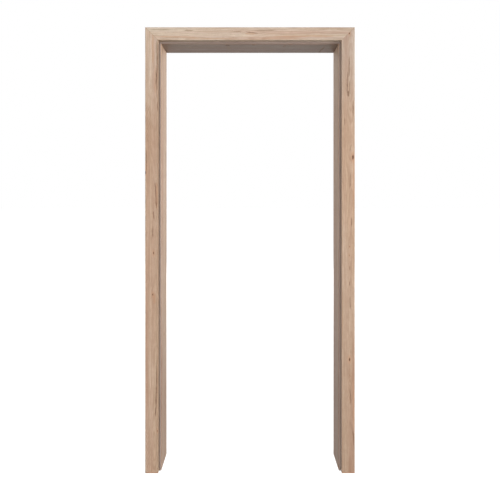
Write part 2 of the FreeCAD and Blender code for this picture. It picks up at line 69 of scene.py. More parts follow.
def addObject(name, data):
    thing = bpy.data.objects.new(name, data)
    bpy.context.collection.objects.link(thing)
    return thing


# Small helpers for node trees

def addNode(tree, kind, sockets=None, **settings):
    node = tree.nodes.new("ShaderNode" + kind)
    for name, value in settings.items():
        setattr(node, name, value)
    for name, value in (sockets or {}).items():
        if isinstance(value, bpy.types.NodeSocket):
            tree.links.new(value, node.inputs[name])
        else:
            node.inputs[name].default_value = value
    return node


def addGroup(tree, group, sockets):
    return addNode(tree, "Group", sockets, node_tree=group).outputs


def calc(tree, operation, *values):
    return addNode(tree, "Math", dict(enumerate(values)), operation=operation).outputs[0]


def times(tree, first, second):
    return calc(tree, "MULTIPLY", first, second)


def minus(tree, first, second):
    return calc(tree, "SUBTRACT", first, second)


def centred(tree, value):
    # Noise from 0 to 1, moved to swing round 0.
    return minus(tree, value, 0.5)


def weighted(tree, total, *parts):
    # A sum: what there is, and each part times its weight.
    for part, weight in parts:
        total = calc(tree, "MULTIPLY_ADD", part, weight, total)
    return total


def farFrom(tree, first, second):
    # How far a point is from the middle, by its two distances.
    square = times(tree, second, second)
    return calc(tree, "SQRT", calc(tree, "MULTIPLY_ADD", first, first, square))


def fade(tree, value, low, high, toLow=0.0, toHigh=1.0):
    sockets = dict(enumerate((value, low, high, toLow, toHigh)))
    return addNode(tree, "MapRange", sockets, interpolation_type="SMOOTHSTEP").outputs[0]


def mixColour(tree, factor, first, second, mode="MIX"):
    sockets = {0: factor, 6: first, 7: second}
    return addNode(tree, "Mix", sockets, data_type="RGBA", blend_type=mode).outputs[2]


def coats(tree, colour, *layers):
    # Lays colours over each other. A layer is its mask, its strength and its colour.
    for mask, strength, layer in layers:
        colour = mixColour(tree, times(tree, mask, strength), colour, layer)
    return colour


def noise(tree, vector, scale, detail=2.0, rough=0.5):
    sockets = {"Vector": vector, "Scale": scale, "Detail": detail, "Roughness": rough}
    return addNode(tree, "TexNoise", sockets).outputs[0]


def grainNoise(tree, along, across, fineness, seed, detail=2.0, rough=0.5):
    # Noise drawn out along the grain. fineness is how many blobs a metre holds, along and
    # across. The tables below give its numbers in this order.
    sockets = {
        0: times(tree, along, fineness[0]),
        1: times(tree, across, fineness[1]),
        2: seed,
    }
    return noise(tree, addNode(tree, "CombineXYZ", sockets).outputs[0], 1.0, detail, rough)


def stretched(tree, vector, factors):
    sockets = {0: vector, 1: factors}
    return addNode(tree, "VectorMath", sockets, operation="MULTIPLY").outputs[0]


def objectPlace(tree):
    return addNode(tree, "TexCoord").outputs["Object"]


def axes(tree, mapName):
    # The two numbers of a UV map.
    uv = addNode(tree, "UVMap", uv_map=mapName).outputs[0]
    parts = addNode(tree, "SeparateXYZ", {0: uv}).outputs
    return parts[0], parts[1]


def newGroup(name, inputs, *outputs):
    # A node group, from its inputs with their values and the titles of its outputs. Only an
    # output called Color is a colour. give links a value to an output.
    group = bpy.data.node_groups.new(name, "ShaderNodeTree")
    for title, value in inputs.items():
        kind = "Float" if isinstance(value, float) else "Vector" if len(value) == 3 else "Color"
        socket = group.interface.new_socket(
            title, in_out="INPUT", socket_type="NodeSocket" + kind)
        socket.default_value = value
    for title in outputs:
        kind = "Color" if title == "Color" else "Float"
        group.interface.new_socket(title, in_out="OUTPUT", socket_type="NodeSocket" + kind)
    given = group.nodes.new("NodeGroupOutput").inputs

    def give(title, value):
        group.links.new(value, given[title])

    return group, group.nodes.new("NodeGroupInput").outputs, give


def newMaterial(name, constants=None):
    # constants are for the shader's own sockets, which no node feeds.
    material = bpy.data.materials.new(name)
    material.use_nodes = True
    tree = material.node_tree
    tree.nodes.clear()
    shader = addNode(tree, "BsdfPrincipled", constants)
    output = addNode(tree, "OutputMaterial")
    tree.links.new(shader.outputs[0], output.inputs[0])
    return material, tree, shader


def dress(tree, shader, colour, rough, height, relief):
    # Feeds a shader its colour, roughness and relief; relief is its depth in millimetres.
    bump = addNode(tree, "Bump", {"Height": height, "Distance": relief * mm, "Strength": 1.0})
    tree.links.new(colour, shader.inputs["Base Color"])
    tree.links.new(rough, shader.inputs["Roughness"])
    tree.links.new(bump.outputs[0], shader.inputs["Normal"])


# Camera, lamps and floor

studio = {
    "cameraPlace": (0.0, -2.181, 1.274),
    "lens": 32.94,
    "sensor": 36.0,
    "shiftUp": -0.11,
    # where the light comes from, its strength, and how soft it is in degrees across
    "suns": {"topSun": ((-0.20, -0.50, 0.85), 0.40, 40.0)},
    # where the lamp stands, what it looks at, its power and its size
    "softBoxes": {
        "frontBox": ((0.0, -6.0, 0.9), (0.0, 0.0, 1.0), 200.0, (2.0, 1.0)),
        "keyBox": ((5.0, -1.7, 1.7), (-0.3, 0.0, 1.3), 262.0, (1.0, 1.0)),
        "fillBox": ((-5.0, -1.7, 1.7), (0.3, 0.0, 1.3), 68.0, (1.0, 1.0)),
        "backBox": ((0.0, 6.0, 2.6), (0.0, 0.0, 1.1), 320.0, (0.8, 1.0)),
    },
    "roomLight": 0.12,  # what the room gives to matt surfaces
    "floorHalf": 40.0,  # half the floor's width
    "floorColour": (0.33, 0.33, 0.33, 1.0),
    "floorLift": 0.94,  # the floor's own white, where it is seen directly
}


def addCamera():
    data = bpy.data.cameras.new("photoCamera")
    data.lens = studio["lens"]
    data.sensor_width = studio["sensor"]
    data.shift_y = studio["shiftUp"]
    camera = addObject("photoCamera", data)
    camera.location = studio["cameraPlace"]
    camera.rotation_euler = (math.radians(90), 0, 0)
    bpy.context.scene.camera = camera


def addSuns():
    for name, (towards, strength, softness) in studio["suns"].items():
        data = bpy.data.lights.new(name, "SUN")
        data.energy = strength
        data.angle = math.radians(softness)
        sun = addObject(name, data)
        sun.rotation_euler = Vector(towards).to_track_quat("Z", "Y").to_euler()


def addSoftBoxes():
    for name, (stand, target, power, size) in studio["softBoxes"].items():
        data = bpy.data.lights.new(name, "AREA")
        data.shape = "RECTANGLE"
        data.size, data.size_y = size
        data.energy = power
        lamp = addObject(name, data)
        lamp.location = stand
        away = Vector(stand) - Vector(target)
        lamp.rotation_euler = away.to_track_quat("Z", "Y").to_euler()
        lamp.visible_glossy = name == "keyBox"  # the others would glare on the reveals


def seenDirectly(tree):
    # 1 where the picture, a reflection or a view through glass meets the surface.
    path = addNode(tree, "LightPath").outputs
    straight = calc(tree, "MAXIMUM", path["Is Camera Ray"], path["Is Glossy Ray"])
    return calc(tree, "MAXIMUM", straight, path["Is Transmission Ray"])


def addRoom():
    world = bpy.data.worlds.new("paleRoom")
    bpy.context.scene.world = world
    world.use_nodes = True
    tree = world.node_tree
    tree.nodes.clear()
    light = fade(tree, seenDirectly(tree), 0.0, 1.0, studio["roomLight"], 1.0)
    back = addNode(tree, "Background", {0: (1.0, 1.0, 1.0, 1.0), 1: light})
    tree.links.new(back.outputs[0], addNode(tree, "OutputWorld").inputs[0])


def addFloor():
    half = studio["floorHalf"]
    mesh = bpy.data.meshes.new("paleFloor")
    corners = [(-half, -half, 0), (half, -half, 0), (half, half, 0), (-half, half, 0)]
    mesh.from_pydata(corners, [], [(0, 1, 2, 3)])
    floor = addObject("paleFloor", mesh)
    material, tree, shader = newMaterial("paleFloor", {
        "Base Color": studio["floorColour"], "Roughness": 1.0, "Specular IOR Level": 0.0,
        "Emission Color": (1.0, 1.0, 1.0, 1.0)})
    lift = times(tree, seenDirectly(tree), studio["floorLift"])
    tree.links.new(lift, shader.inputs["Emission Strength"])
    mesh.materials.append(material)


addCamera()
addSuns()
addSoftBoxes()
addRoom()
addFloor()
print("camera, lamps and floor are set")


# Effects that several finishes share

wearLook = {
    "rim": (90.0, 3.0, 0.65),  # scale, detail and roughness of the ragged outline
    "fade": (0.25, 1.0),  # shares of the reach
    "leastReach": 1e-5,
}

scuffLook = {
    # for each noise: scale, detail and roughness
    "patches": (14.0, 2.0),
    "dustGrains": (900.0, 4.0, 0.7),
    "dustDrifts": (9.0, 3.0),
    "angle": 0.6,  # in radians
    "stretch": (60.0, 60.0, 1400.0),
    "scratchWidth": 0.03,
}

grainLook = {
    "wander": ((1.1, 7.0), 3.1),
    "ripple": ((9.0, 40.0), 8.4),
    "Tone": ((0.5, 42.0), 1.7, 3.0, 0.55),
    "Patch": ((1.9, 19.0), 5.2),
    "heart": ((0.6, 1.0), 2.3, 1.0),
    "arch": ((2.3, 1.0), 6.6),
    "uneven": ((2.0, 30.0), 9.9),
    "Streaks": ((4.0, 210.0), 4.4, 3.0, 0.6),
    "Mottle": ((34.0, 95.0), 12.7, 4.0, 0.7),
    "Fibre": ((22.0, 900.0), 7.7, 4.0, 0.6),
    "pores": ((120.0, 2600.0), 0.6),
    "poreBands": ((6.0, 160.0), 11.3),
    # metres across
    "wanderBy": 0.016,
    "rippleBy": 0.0022,
    "layOfHearts": 0.055,
    "offHeart": 0.03,
    "heartStrays": 0.05,
    "archHeight": 0.055,
    # the rings: how many a metre, and how far the noise shifts them
    "ringsAMetre": 210.0,
    "ringShift": 1.4,
}

markLook = {
    "wobble": ((16.0, 70.0), 1.9),
    "thickness": ((75.0, 260.0), 5.5, 3.0, 0.6),
    "fibre": ((34.0, 1500.0), 8.8, 3.0),
    "knotRim": ((160.0, 420.0), 3.3),
    "wobbleBy": 2.5,  # in widths of the mark
    "usualThickness": 0.75,
    "thicknessSwing": 3.0,
    "leastThickness": 0.02,
    "taperFrom": 0.35,  # share of the half length where a mark begins to thin
    "leastWidth": 1e-6,
    "knotRimBy": 0.9,
    "grainPush": 0.9,  # how far a knot pushes the grain aside
    "pushFade": 0.25,
}


def makeEdgeWear():
    # 1 at an edge, fading out raggedly over the reach.
    group, taken, give = newGroup(
        "edgeWear",
        {"Place": (0.0, 0.0, 0.0), "Distance": 0.0, "Reach": 0.001, "Raggedness": 0.6},
        "Mask")
    ragged = centred(group, noise(group, taken["Place"], *wearLook["rim"]))
    ragged = times(group, times(group, ragged, 2.0), taken["Raggedness"])
    reach = calc(group, "MULTIPLY_ADD", ragged, taken["Reach"], taken["Reach"])
    reach = calc(group, "MAXIMUM", reach, wearLook["leastReach"])
    near = calc(group, "DIVIDE", taken["Distance"], reach)
    give("Mask", fade(group, near, *wearLook["fade"], 1.0, 0.0))
    return group


def makeScuffs():
    # Thin scratches in patches, and drifts of dust.
    group, taken, give = newGroup(
        "scuffsAndDust",
        {"Place": (0.0, 0.0, 0.0), "Scratches": 0.5, "Dust": 0.5},
        "Scratches", "Dust")
    turned = addNode(group, "VectorRotate", {0: taken["Place"], "Angle": scuffLook["angle"]},
                     rotation_type="Z_AXIS").outputs[0]
    drawnOut = noise(group, stretched(group, turned, scuffLook["stretch"]), 1.0)
    line = calc(group, "ABSOLUTE", centred(group, drawnOut))
    patches, grains, drifts = [noise(group, taken["Place"], *scuffLook[which])
                               for which in ("patches", "dustGrains", "dustDrifts")]
    scratches = times(group, fade(group, line, 0.0, scuffLook["scratchWidth"], 1.0, 0.0),
                      fade(group, patches, 0.5, 0.7))
    dust = times(group, fade(group, grains, 0.52, 0.75), fade(group, drifts, 0.35, 0.7))
    for title, effect in (("Scratches", scratches), ("Dust", dust)):
        give(title, times(group, effect, taken[title]))
    return group


def makeGrain():
    # The oak itself: tone bands, growth rings, streaks, fibres and pores, each from 0 to 1.
    group, taken, give = newGroup(
        "woodGrain",
        {"Along": 0.0, "Across": 0.0},
        "Tone", "Patch", "Rings", "Streaks", "Mottle", "Fibre", "Pores")
    look = grainLook
    along, across = taken["Along"], taken["Across"]
    for bend, amount in (("wander", "wanderBy"), ("ripple", "rippleBy")):
        swing = centred(group, grainNoise(group, along, across, *look[bend]))
        across = weighted(group, across, (swing, look[amount]))
    for title, low, high in (("Tone", 0.33, 0.67), ("Patch", 0.3, 0.7), ("Streaks", 0.3, 0.7),
                             ("Mottle", 0.35, 0.65), ("Fibre", 0.25, 0.75)):
        blobs = grainNoise(group, along, across, *look[title])
        give(title, fade(group, blobs, low, high))
    # The rings close into tall arches where the saw came near the heart of the log.
    heart = centred(group, grainNoise(group, along, 0.0, *look["heart"]))
    sideways = calc(group, "PINGPONG", across, look["layOfHearts"])
    sideways = minus(group, sideways, look["offHeart"])
    sideways = weighted(group, sideways, (heart, look["heartStrays"]))
    height = times(group, grainNoise(group, along, 0.0, *look["arch"]), look["archHeight"])
    radius = farFrom(group, sideways, height)
    uneven = grainNoise(group, along, across, *look["uneven"])
    phase = times(group, radius, look["ringsAMetre"])
    saw = calc(group, "FRACT", weighted(group, phase, (uneven, look["ringShift"])))
    rings = times(group, fade(group, saw, 0.25, 0.88), fade(group, saw, 0.9, 1.0, 1.0, 0.0))
    give("Rings", rings)
    pores = fade(group, grainNoise(group, along, across, *look["pores"]), 0.58, 0.70)
    bands = fade(group, grainNoise(group, along, across, *look["poreBands"]), 0.38, 0.62)
    give("Pores", times(group, pores, bands))
    return group


def fromMiddle(group, taken):
    # How far along a point lies, in half lengths of the mark, and how far across in metres.
    along = minus(group, taken["Along"], taken["Middle Along"])
    along = calc(group, "DIVIDE", along, times(group, taken["Length"], 0.5))
    return along, minus(group, taken["Across"], taken["Middle Across"])


def makeMark():
    # One crack, streak or stain, in metres. At its top its middle line lies Bend further across,
    # and at its bottom as much the other way. Stain is a paler, wider copy of it.
    group, taken, give = newGroup(
        "grainMark",
        {"Along": 0.0, "Across": 0.0, "Middle Along": 0.0, "Middle Across": 0.0,
         "Length": 0.1, "Width": 0.003, "Bend": 0.0, "Ragged": 0.6, "Softness": 0.0},
        "Mask", "Stain")
    look = markLook
    along, across = taken["Along"], taken["Across"]
    half, aside = fromMiddle(group, taken)
    aside = minus(group, aside, times(group, half, taken["Bend"]))
    wobble = centred(group, grainNoise(group, along, across, *look["wobble"]))
    stray = times(group, times(group, taken["Width"], taken["Ragged"]), look["wobbleBy"])
    aside = calc(group, "ABSOLUTE", calc(group, "MULTIPLY_ADD", wobble, stray, aside))
    thick = centred(group, grainNoise(group, along, across, *look["thickness"]))
    thick = times(group, thick, taken["Ragged"])
    thick = weighted(group, look["usualThickness"], (thick, look["thicknessSwing"]))
    taper = fade(group, calc(group, "ABSOLUTE", half), look["taperFrom"], 1.0, 1.0, 0.0)
    thick = times(group, calc(group, "MAXIMUM", thick, look["leastThickness"]), taper)
    wide = times(group, thick, times(group, taken["Width"], 0.5))
    near = calc(group, "DIVIDE", aside, calc(group, "MAXIMUM", wide, look["leastWidth"]))
    rim = calc(group, "ADD", taken["Softness"], 1.25)
    fibre = grainNoise(group, along, across, *look["fibre"])
    give("Mask", times(group, fade(group, near, 0.2, rim, 1.0, 0.0),
                       fade(group, fibre, 0.36, 0.56, 0.4, 1.0)))
    give("Stain", times(group, fade(group, near, 0.3, 3.2, 0.5, 0.0),
                        fade(group, fibre, 0.3, 0.6, 0.5, 1.0)))
    return group


def makeKnot():
    # A knot with its halo, and the push that bends the grain round it.
    group, taken, give = newGroup(
        "grainKnot",
        {"Along": 0.0, "Across": 0.0, "Middle Along": 0.0, "Middle Across": 0.0,
         "Length": 0.018, "Width": 0.006},
        "Core", "Halo", "Push")
    look = markLook
    up, aside = fromMiddle(group, taken)
    sideways = calc(group, "DIVIDE", aside, times(group, taken["Width"], 0.5))
    rim = grainNoise(group, taken["Along"], taken["Across"], *look["knotRim"])
    rim = centred(group, rim)
    far = weighted(group, farFrom(group, up, sideways), (rim, look["knotRimBy"]))
    give("Core", fade(group, far, 0.55, 1.1, 1.0, 0.0))
    give("Halo", fade(group, far, 0.9, 3.2, 1.0, 0.0))
    fall = weighted(group, 1.0, *[(times(group, part, part), look["pushFade"])
                                  for part in (sideways, up)])
    push = times(group, calc(group, "DIVIDE", look["grainPush"], fall), -1.0)
    give("Push", times(group, aside, push))
    return group


edgeWear = makeEdgeWear()
scuffs = makeScuffs()
woodGrain = makeGrain()
grainMark = makeMark()
grainKnot = makeKnot()
print("shared effects are made")


# Oak foil

foilLook = {
    "beige": paint(203, 178, 152),
    "pink": paint(188, 152, 132),
    "pale": paint(216, 198, 179),
    "shade": paint(170, 137, 115),
    "ringBrown": paint(150, 115, 91),
    "poreBrown": paint(122, 93, 75),
    "crackBrown": paint(98, 72, 54),
    "olive": paint(138, 116, 95),
    "warm": paint(180, 137, 107),
    "knotDark": paint(84, 54, 38),
    "core": paint(150, 104, 68),  # what shows where a cut edge is rubbed
    # effect, strength and colour, from the lowest coat to the highest
    "underTint": (("Patch", 0.55, "pale"), ("Streaks", 0.5, "shade"), ("Mottle", 0.30, "shade")),
    "rings": (0.30, -0.18),  # strength, and what a pale patch takes from it
    "fibreLight": (0.90, 1.07),
    "overTint": (
        # Olive also lays the painted shade band, and the pale band is painted light
        ("Pores", 0.5, "poreBrown"), ("PaintedLightBand", 0.7, "pale"), ("Olive", 0.78, "olive"),
        ("Warm", 0.6, "warm"), ("Flame", 0.9, "ringBrown"), ("Halo", 0.5, "warm"),
        # the warm line along the arrises is partly wear and partly painted shade on the rounding
        ("Crack", 0.95, "crackBrown"), ("Knot", 0.92, "knotDark"), ("RubbedAndShaded", 0.22, "warm"),
        ("Cut", 0.8, "core"), ("Dust", 0.10, "pale"),
    ),
    "rough": 0.50,
    "roughParts": (("Pores", 0.2), ("Fibre", 0.06), ("Dust", 0.2), ("Scratches", -0.12),
                   ("RubbedAndShaded", -0.08)),
    "height": 0.6,
    "heightParts": (("Fibre", 0.25), ("Pores", -0.5), ("Rings", -0.12), ("Crack", -0.6),
                    ("Knot", -0.4), ("Scratches", -0.25)),
    "gloss": 0.22,
    "relief": 0.06,
    # how far in the rubbed places reach, in millimetres; the warm line along the arrises is also
    # painted shade on the rounded edge
    "arrisWearAndShade": 2.2,
    "mitreWear": 0.7,
    "footWear": 5.0,
    # where along a board its tint, painted light and shade included, passes from start to middle,
    # and from middle to end
    "headDrift": (-0.45, -0.1, 0.1, 0.45),
    "uprightDrift": (0.1, 1.5, 1.55, 2.0),
}

# Cracks and knots take their groups as they are. The smooth dark band is painted shade along a
# rebate's inner edge, and the smooth pale band is painted light in a shaded rebate; Olive and Warm
# are stains, and a Flame is stacked arches.
markKinds = {
    "Band": {"Ragged": 0.08},
    "PaintedLightBand": {"Ragged": 0.08},
    "Olive": {"Ragged": 0.3, "Softness": 0.5},
    "Warm": {"Ragged": 0.3, "Softness": 1.6},
    "Flame": {"Ragged": 0.2},
}
markSizes = ("Middle Along", "Middle Across", "Length", "Width", "Bend")
foilMasks = ("Crack", "Olive", "Warm", "PaintedLightBand", "Flame", "Knot", "Halo")

flame = {
    "waver": ((14.0, 60.0), 6.3),
    # in metres, apart from the slope
    "waverBy": 0.02,
    "slope": 3.2,
    "halfSpacing": 0.0125,
    "edge": (0.006, 0.011),  # where an arch starts and where it is full
}


def makeFoil():
    # Puts the grain, the marks and the wear of one board together.
    group, taken, give = newGroup(
        "oakFoil",
        {"Along": 0.0, "Across": 0.0, "Place": (0.0, 0.0, 0.0),
         **dict.fromkeys(foilMasks, 0.0), "RubbedAndShaded": 0.0, "Cut": 0.0,
         "Tint": (1.0, 1.0, 1.0, 1.0)},
        "Color", "Roughness", "Height")
    look = foilLook
    grain = addGroup(group, woodGrain, {"Along": taken["Along"], "Across": taken["Across"]})
    dirt = addGroup(group, scuffs, {"Place": taken["Place"], "Scratches": 0.5, "Dust": 0.4})
    effect = {socket.name: socket for socket in (*taken, *grain, *dirt) if socket.name}

    def layers(which):
        return [(effect[title], strength, look[name]) for title, strength, name in look[which]]

    def parts(which):
        return [(effect[title], weight) for title, weight in look[which]]

    colour = mixColour(group, grain["Tone"], look["beige"], look["pink"])
    colour = coats(group, colour, *layers("underTint"))
    rings = weighted(group, look["rings"][0], (grain["Patch"], look["rings"][1]))
    rings = times(group, grain["Rings"], rings)
    colour = mixColour(group, rings, colour, look["ringBrown"])
    fibre = fade(group, grain["Fibre"], 0.0, 1.0, *look["fibreLight"])
    fibre = addNode(group, "CombineColor", {0: fibre, 1: fibre, 2: fibre}).outputs[0]
    colour = mixColour(group, 1.0, colour, fibre, "MULTIPLY")
    colour = mixColour(group, 1.0, colour, taken["Tint"], "MULTIPLY")
    colour = coats(group, colour, *layers("overTint"))
    give("Color", colour)
    give("Roughness", weighted(group, look["rough"], *parts("roughParts")))
    give("Height", weighted(group, look["height"], *parts("heightParts")))
    return group


oakFoil = makeFoil()


def strongest(tree, masks):
    found = masks[0] if masks else 0.0
    for mask in masks[1:]:
        found = calc(tree, "MAXIMUM", found, mask)
    return found


def flameArches(tree, along, across, middle):
    # Arches stacked along the board, pointing up it.
    aside = calc(tree, "ABSOLUTE", minus(tree, across, middle))
    waver = grainNoise(tree, along, across, *flame["waver"])
    rise = weighted(tree, along, (aside, flame["slope"]), (waver, flame["waverBy"]))
    return fade(tree, calc(tree, "PINGPONG", rise, flame["halfSpacing"]), *flame["edge"])


def drawMarks(tree, along, across, marks):
    # A mark is its kind and the sizes above in millimetres, with Bend left out where it is 0.
    masks = {kind: [] for kind in foilMasks}
    pushed = across
    for kind, *sizes in marks:
        sockets = {title: size * mm for title, size in zip(markSizes, sizes)}
        sockets.update({"Along": along, "Across": across})
        if kind == "Knot":
            knot = addGroup(tree, grainKnot, sockets)
            masks["Knot"].append(knot["Core"])
            masks["Halo"].append(knot["Halo"])
            pushed = calc(tree, "ADD", pushed, knot["Push"])
            continue
        mark = addGroup(tree, grainMark, {**sockets, **markKinds.get(kind, {})})
        if kind == "Flame":
            arches = flameArches(tree, along, across, sockets["Middle Across"])
            masks["Flame"].append(times(tree, mark["Mask"], arches))
        else:
            # the dark band is painted shade, laid with the olive stains
            masks["Olive" if kind == "Band" else kind].append(mark["Mask"])
        if kind == "Crack":
            masks["Flame"].append(mark["Stain"])
    return {kind: strongest(tree, found) for kind, found in masks.items()}, pushed


def foilMaterial(name, board, where):
    look, onHead = foilLook, where == "head"
    material, tree, shader = newMaterial(name, {"Specular IOR Level": look["gloss"]})
    along, across = axes(tree, "foil")
    toTop, toFoot = axes(tree, "rim")
    position = objectPlace(tree)
    sockets, pushed = drawMarks(tree, along, across, board["marks"][where])
    # the warm line along the arrises: partly wear, partly painted shade on the rounded edge
    arris = calc(tree, "MINIMUM", *[
        calc(tree, "ABSOLUTE", minus(tree, across, edge * mm)) for edge in board["arrises"]])
    rubbedAndShaded, cut, foot = [
        addGroup(tree, edgeWear, {"Place": position, "Distance": distance, "Reach": reach * mm})[0]
        for distance, reach in ((arris, look["arrisWearAndShade"]), (toTop, look["mitreWear"]),
                                (toFoot, look["mitreWear" if onHead else "footWear"]))]
    shift = board["shift"][where]
    sockets["Along"] = calc(tree, "ADD", along, shift[0])
    sockets["Across"] = calc(tree, "ADD", pushed, shift[1])
    sockets["Place"] = position
    sockets["RubbedAndShaded"] = rubbedAndShaded
    sockets["Cut"] = calc(tree, "MAXIMUM", cut, foot)
    # The tint drifts along the board, from its start over the middle to its end. Part of it is
    # painted light and shade: the uprights darken towards the floor, the head casing is paler, and
    # the lining's head, which faces down, is painted dark as shade.
    drift = look["headDrift" if onHead else "uprightDrift"]
    start, middle, end = [(*tint, 1.0) for tint in board["tintsWithPaintedLight"][where]]
    tint = mixColour(tree, fade(tree, along, *drift[:2]), start, middle)
    sockets["Tint"] = mixColour(tree, fade(tree, along, *drift[2:]), tint, end)
    foil = addGroup(tree, oakFoil, sockets)
    dress(tree, shader, foil["Color"], foil["Roughness"], foil["Height"], look["relief"])
    return material


# Bare board: pressed chips on the cut faces, brown paper on the wall side

boardLook = {
    "chipPale": paint(212, 182, 138),
    "chipBrown": paint(150, 112, 74),
    "glue": paint(126, 94, 64),
    "paper": paint(176, 149, 118),
    "paperDark": paint(150, 122, 93),
    "chipsAMetre": (520.0, 520.0, 210.0),
    "glueWidth": 0.12,  # share of a chip
    "chipRelief": 0.12,
    "strands": ((260.0, 700.0), 2.0, 3.0, 0.65),
    "rolled": ((1.5, 120.0), 6.0),
    "paperRelief": 0.05,
}


def makeChipBoard():
    look = boardLook
    material, tree, shader = newMaterial("chipBoard")
    position = objectPlace(tree)
    bent = noise(tree, position, 60.0)
    moved = stretched(tree, position, look["chipsAMetre"])
    moved = addNode(tree, "VectorMath", {0: moved, 1: bent}, operation="ADD").outputs[0]
    cell = addNode(tree, "TexVoronoi", {"Vector": moved, "Scale": 1.0}).outputs["Color"]
    edges = addNode(tree, "TexVoronoi", {"Vector": moved, "Scale": 1.0},
                    feature="DISTANCE_TO_EDGE").outputs[0]
    pick = addNode(tree, "SeparateColor", {0: cell}).outputs[0]
    grit = noise(tree, position, 1500.0, 3.0)
    gap = fade(tree, edges, 0.0, look["glueWidth"], 0.75, 0.0)
    colour = mixColour(tree, pick, look["chipPale"], look["chipBrown"])
    colour = mixColour(tree, gap, colour, look["glue"])
    colour = coats(tree, colour, (grit, 0.35, look["chipPale"]))
    rough = weighted(tree, 0.75, (grit, 0.2))
    height = weighted(tree, pick, (grit, 0.3), (gap, -0.6))
    dress(tree, shader, colour, rough, height, look["chipRelief"])
    return material


def makeBackingPaper():
    look = boardLook
    material, tree, shader = newMaterial("backingPaper")
    along, across = axes(tree, "foil")
    position = objectPlace(tree)
    dirt = addGroup(tree, scuffs, {"Place": position, "Scratches": 0.8, "Dust": 0.8})
    cloud = noise(tree, position, 26.0, 4.0, 0.6)
    strands = grainNoise(tree, along, across, *look["strands"])
    rolled = grainNoise(tree, along, across, *look["rolled"])
    mottle = weighted(tree, 0.0, (cloud, 0.5), (strands, 0.5), (rolled, 0.25))
    colour = mixColour(tree, fade(tree, mottle, 0.4, 0.85), look["paperDark"], look["paper"])
    colour = coats(tree, colour, (dirt["Dust"], 0.4, look["chipPale"]),
                   (dirt["Scratches"], 0.35, look["chipPale"]))
    rough = weighted(tree, 0.68, (strands, 0.18))
    height = weighted(tree, strands, (dirt["Scratches"], -0.5))
    dress(tree, shader, colour, rough, height, look["paperRelief"])
    return material


chipBoard = makeChipBoard()
backingPaper = makeBackingPaper()
print("foil and bare board are mixed")


# Boards and strips are swept from their cross-sections

boardFinishes = ["foil", "paper", "chips"]  # the last one also covers the cut ends
cutSoftening = 0.25 * mm


def boardPoint(where, out, deep, along):
    if where == "head":
        return Vector((along, frontFace + deep, passageTop + out))
    return Vector((mirror[where] * (passageHalf + out), frontFace + deep, along))


def boardEnds(where, out):
    # Where the board starts and stops at that distance out: the floor or the mitre line.
    if where == "head":
        return mitreGap - passageHalf - out, passageHalf + out - mitreGap
    return 0.0, passageTop + out - mitreGap


def roundCorners(section, steps=6, hold=0.5):
    # Every rounded corner of a section is a right angle. A point at hold beside each rounding
    # keeps the shading flat there.
    points = []
    for index, (out, deep, radius, finish) in enumerate(section):
        corner = Vector((out, deep))
        if not radius:
            points.append((corner * mm, finish))
            continue
        lastOut, lastDeep, _, lastFinish = section[index - 1]
        nextOut, nextDeep = section[(index + 1) % len(section)][:2]
        back = (Vector((lastOut, lastDeep)) - corner).normalized()
        on = (Vector((nextOut, nextDeep)) - corner).normalized()
        centre = corner + (back + on) * radius
        points.append(((corner + back * (radius + hold)) * mm, lastFinish))
        for step in range(steps + 1):
            turn = math.pi / 2 * step / steps
            arc = centre - on * radius * math.cos(turn) - back * radius * math.sin(turn)
            points.append((arc * mm, finish))
        points.append(((corner + on * (radius + hold)) * mm, finish))
    return points


def drawnIn(points, amount):
    # The same outline, smaller by amount all round, for a softened cut edge.
    area = sum(a[0].x * b[0].y - b[0].x * a[0].y for a, b in zip(points, points[1:] + points[:1]))
    turn = 1 if area > 0 else -1
    inner = []
    for index, (point, finish) in enumerate(points):
        back = (point - points[index - 1][0]).normalized()
        on = (points[(index + 1) % len(points)][0] - point).normalized()
        first, second = Vector((-back.y, back.x)) * turn, Vector((-on.y, on.x)) * turn
        middle = first + second
        inner.append((point + middle * amount * 2 / max(middle.length_squared, 0.4), finish))
    return inner


def addMesh(name, bm):
    bmesh.ops.recalc_face_normals(bm, faces=bm.faces)
    mesh = bpy.data.meshes.new(name)
    bm.to_mesh(mesh)
    bm.free()
    return addObject(name, mesh)


